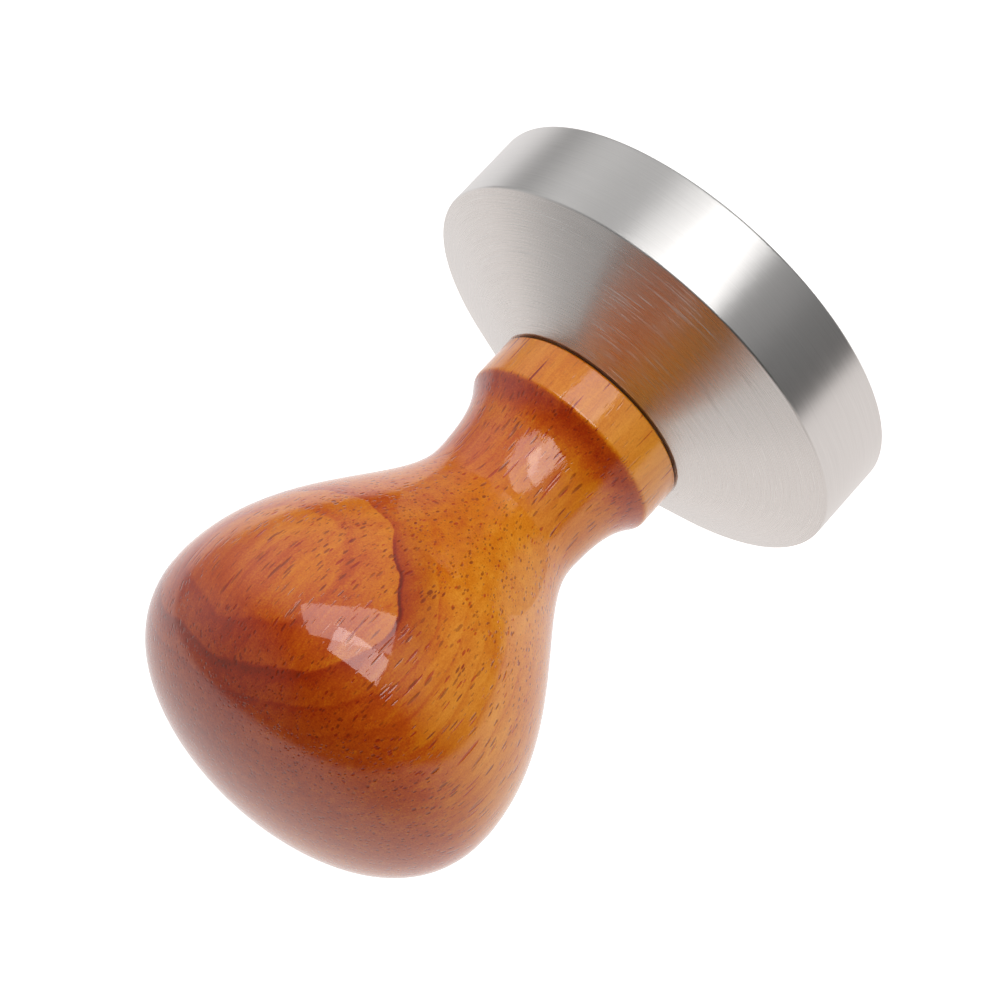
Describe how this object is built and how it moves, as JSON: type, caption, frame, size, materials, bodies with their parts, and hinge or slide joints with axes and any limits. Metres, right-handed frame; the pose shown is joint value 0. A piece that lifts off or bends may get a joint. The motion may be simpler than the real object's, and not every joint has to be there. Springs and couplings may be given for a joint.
{
  "type": "espresso tamper",
  "caption": "Espresso tamper: turned steel base with a straight rim and cone, on a pear-shaped lacquered wooden handle that unscrews.",
  "frame": {"origin": "centre of the tamping face, the flat underside of the base", "axes": "+Z along the turning axis, from the tamping face to the crown of the handle; +X and +Y are alike"},
  "size_m": [0.058, 0.058, 0.0806],
  "materials": {
    "brushed_steel": "stainless steel, brushed round the axis, satin",
    "stud_steel": "stainless screw steel, cut thread, fairly bright",
    "black_rubber": "matte black",
    "lacquered_wood": "reddish-orange open-pored hardwood under clear gloss lacquer",
    "brass": "machined, satin"
  },
  "bodies": {
    "base": {"tamper_base": "brushed_steel", "threaded_stud": "stud_steel"},
    "washer": {"seat_washer": "black_rubber"},
    "handle": {"handle": "lacquered_wood", "threaded_insert": "brass"}
  },
  "joints": [
    {"name": "handle_turn", "type": "hinge", "parent": "base", "child": "washer", "pos_m": [0, 0, 0.01865], "axis": [0, 0, 1], "range_deg": [0, 4320]},
    {"name": "handle_rise", "type": "slide", "parent": "washer", "child": "handle", "axis": [0, 0, 1], "range_m": [0, 0.015]}
  ],
  "couplings": [
    {"joint": "handle_rise", "follows": "handle_turn", "m_per_rad": 0.00019894}
  ]
}
